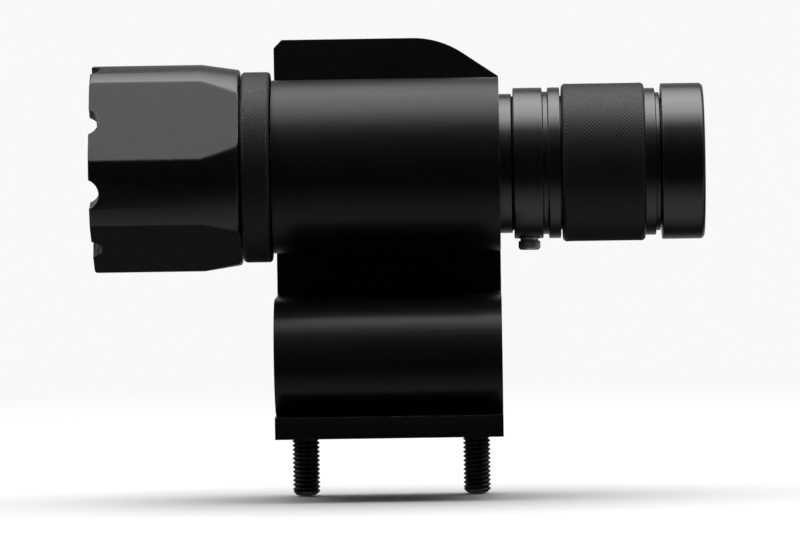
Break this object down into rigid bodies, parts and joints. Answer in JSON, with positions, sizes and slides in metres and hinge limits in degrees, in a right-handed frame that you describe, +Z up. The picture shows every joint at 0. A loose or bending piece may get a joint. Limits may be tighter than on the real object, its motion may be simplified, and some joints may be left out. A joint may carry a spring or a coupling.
{
  "type": "helmet flashlight",
  "caption": "Compact firefighter's flashlight with a crenellated bezel and push-button tail, held sideways in an extruded clip that clamps a helmet brim.",
  "frame": {"origin": "middle of the clip's flat brim seat, on the line of the two clamp screws", "axes": "+X along the lamp towards its tail (the light shines along -X), -Y away from the helmet, +Z up"},
  "size_m": [0.1112, 0.0378, 0.0838],
  "materials": {
    "clip_black": "satin",
    "lamp_black": "satin",
    "black_steel": "satin",
    "stainless": "satin",
    "spring_steel": "satin",
    "black_plastic": "matte",
    "white_plastic": "matte",
    "red_wire": "satin",
    "black_rubber": "matte",
    "lens_glass": "polished",
    "reflector_coat": "polished",
    "led_phosphor": "satin",
    "led_board_white": "satin",
    "circuit_board": "satin",
    "bare_aluminium": "satin",
    "brass": "satin",
    "cell_can": "gloss"
  },
  "bodies": {
    "clip": {"clip": "clip_black"},
    "clamp_pad_front": {"clamp_pad_front": "black_plastic"},
    "clamp_screw_front": {"clamp_screw_front": "black_steel"},
    "clamp_pad_rear": {"clamp_pad_rear": "black_plastic"},
    "clamp_screw_rear": {"clamp_screw_rear": "black_steel"},
    "lamp": {"battery_tube": "lamp_black", "grip_ring_front": "black_rubber", "grip_ring_rear": "black_rubber", "stop_collar": "lamp_black", "lock_screw": "stainless", "head_housing": "lamp_black", "head_seal": "black_rubber", "reflector": "reflector_coat", "led_emitter": "led_phosphor", "led_centering_ring": "white_plastic", "led_board": "led_board_white", "led_wire_positive": "red_wire", "led_wire_negative": "black_plastic", "heat_sink": "bare_aluminium", "driver_board": "circuit_board", "driver_spring": "spring_steel", "cell_front": "cell_can", "cell_rear": "cell_can", "tail_seal": "black_rubber"},
    "window": {"lens": "lens_glass", "lens_gasket": "black_rubber"},
    "bezel": {"bezel": "lamp_black"},
    "switch_seal": {"switch_seal": "black_rubber"},
    "tail_cap": {"tail_cap": "lamp_black", "tail_ring": "lamp_black", "switch_board": "circuit_board", "switch_body": "black_plastic", "switch_retainer": "brass", "tail_spring": "spring_steel"},
    "button": {"switch_boot": "black_rubber", "switch_plunger": "white_plastic"}
  },
  "joints": [
    {"name": "lamp_turn", "type": "hinge", "parent": "clip", "child": "lamp", "pos_m": [0, -0.0079, 0.027], "axis": [1, 0, 0], "continuous": true},
    {"name": "bezel_travel", "type": "slide", "parent": "lamp", "child": "window", "axis": [-1, 0, 0], "range_m": [0, 0.006]},
    {"name": "bezel_turn", "type": "hinge", "parent": "window", "child": "bezel", "pos_m": [-0.04, -0.0079, 0.027], "axis": [-1, 0, 0], "range_deg": [0, 2160]},
    {"name": "tail_cap_travel", "type": "slide", "parent": "lamp", "child": "switch_seal", "axis": [1, 0, 0], "range_m": [0, 0.007]},
    {"name": "tail_cap_turn", "type": "hinge", "parent": "switch_seal", "child": "tail_cap", "pos_m": [0.04, -0.0079, 0.027], "axis": [1, 0, 0], "range_deg": [0, 2520]},
    {"name": "button_press", "type": "slide", "parent": "tail_cap", "child": "button", "axis": [-1, 0, 0], "range_m": [0, 0.0015], "stiffness_N_per_m": 150},
    {"name": "clamp_front_travel", "type": "slide", "parent": "clip", "child": "clamp_pad_front", "axis": [0, 0, 1], "range_m": [-0.0056, 0.004]},
    {"name": "clamp_front_turn", "type": "hinge", "parent": "clamp_pad_front", "child": "clamp_screw_front", "pos_m": [-0.0157, 0, -0.02], "axis": [0, 0, 1], "range_deg": [-2520, 1800]},
    {"name": "clamp_rear_travel", "type": "slide", "parent": "clip", "child": "clamp_pad_rear", "axis": [0, 0, 1], "range_m": [-0.0056, 0.004]},
    {"name": "clamp_rear_turn", "type": "hinge", "parent": "clamp_pad_rear", "child": "clamp_screw_rear", "pos_m": [0.0157, 0, -0.02], "axis": [0, 0, 1], "range_deg": [-2520, 1800]}
  ],
  "couplings": [
    {"joint": "bezel_turn", "follows": "bezel_travel", "rad_per_m": 6283.2},
    {"joint": "tail_cap_turn", "follows": "tail_cap_travel", "rad_per_m": 6283.2},
    {"joint": "clamp_front_turn", "follows": "clamp_front_travel", "rad_per_m": 7854},
    {"joint": "clamp_rear_turn", "follows": "clamp_rear_travel", "rad_per_m": 7854}
  ]
}
